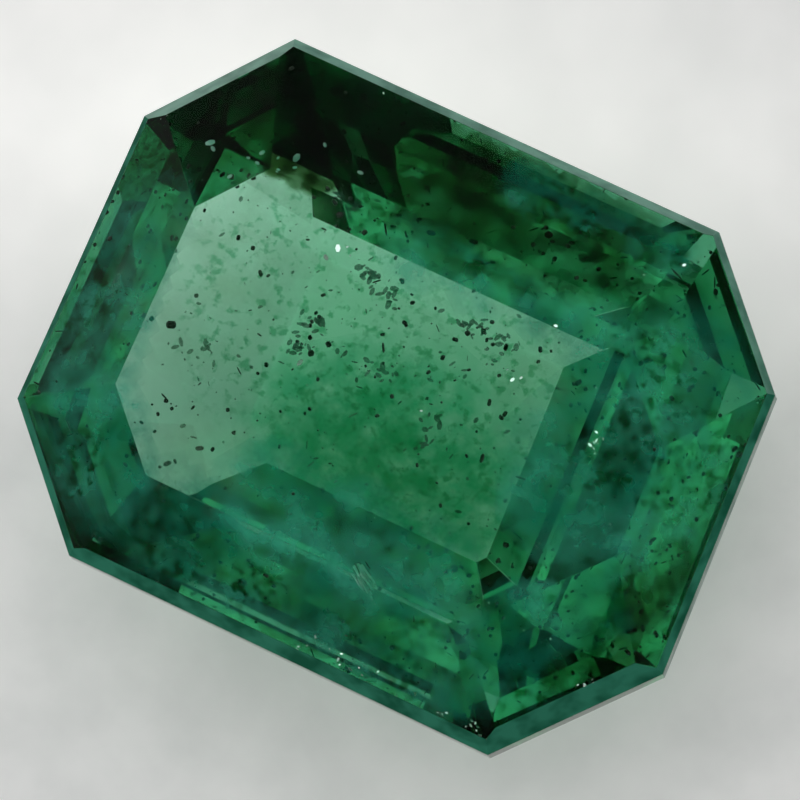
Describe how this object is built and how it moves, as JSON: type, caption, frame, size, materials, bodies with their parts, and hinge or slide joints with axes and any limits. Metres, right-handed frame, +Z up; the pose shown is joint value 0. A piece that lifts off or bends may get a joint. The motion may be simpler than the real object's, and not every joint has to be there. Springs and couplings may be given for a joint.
{
  "type": "cut emerald",
  "caption": "Loose faceted green gemstone: step-cut octagon with a broad flat table, stepped pavilion and a flat culet it stands on.",
  "frame": {"origin": "middle of the stone's box at the culet, the flat underside it stands on", "axes": "+X along the stone's long axis, +Y across it, +Z up out of the table"},
  "size_m": [0.0082, 0.0066, 0.0034],
  "materials": {
    "emerald": "polished"
  },
  "bodies": {
    "root": {"emerald": "emerald"}
  },
  "joints": []
}
